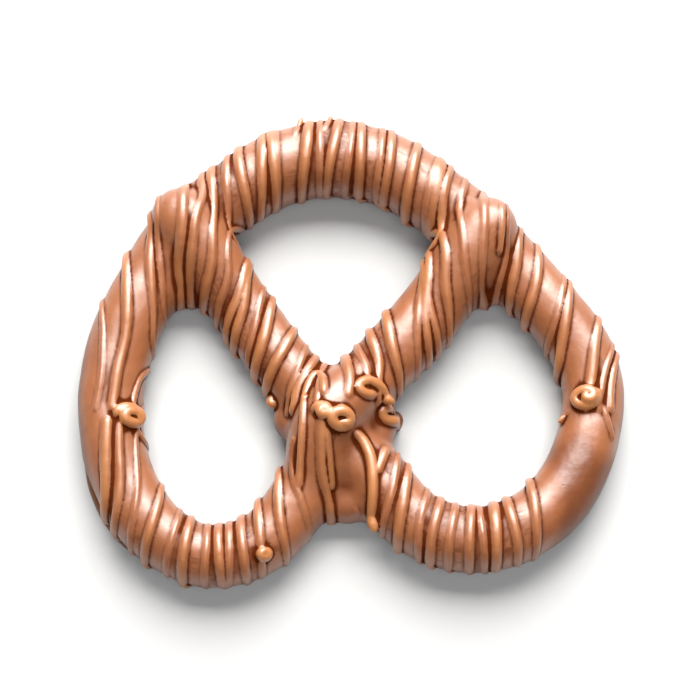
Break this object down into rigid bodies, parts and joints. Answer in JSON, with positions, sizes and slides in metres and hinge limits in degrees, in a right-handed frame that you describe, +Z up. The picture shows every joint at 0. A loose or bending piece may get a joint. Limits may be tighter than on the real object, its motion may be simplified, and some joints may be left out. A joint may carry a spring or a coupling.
{
  "type": "chocolate covered pretzel",
  "caption": "Twisted pretzel in a smooth milk chocolate coat with thin chocolate strings drizzled across its arch and lobes, lying flat.",
  "frame": {"origin": "under the middle of the pretzel, on the surface it lies on", "axes": "+Z up out of the drizzled side, +Y from the two lobes towards the arch, +X across both lobes"},
  "size_m": [0.0598, 0.0532, 0.0099],
  "materials": {
    "milk_chocolate": "satin milk chocolate"
  },
  "bodies": {
    "root": {"pretzel": "milk_chocolate"}
  },
  "joints": []
}
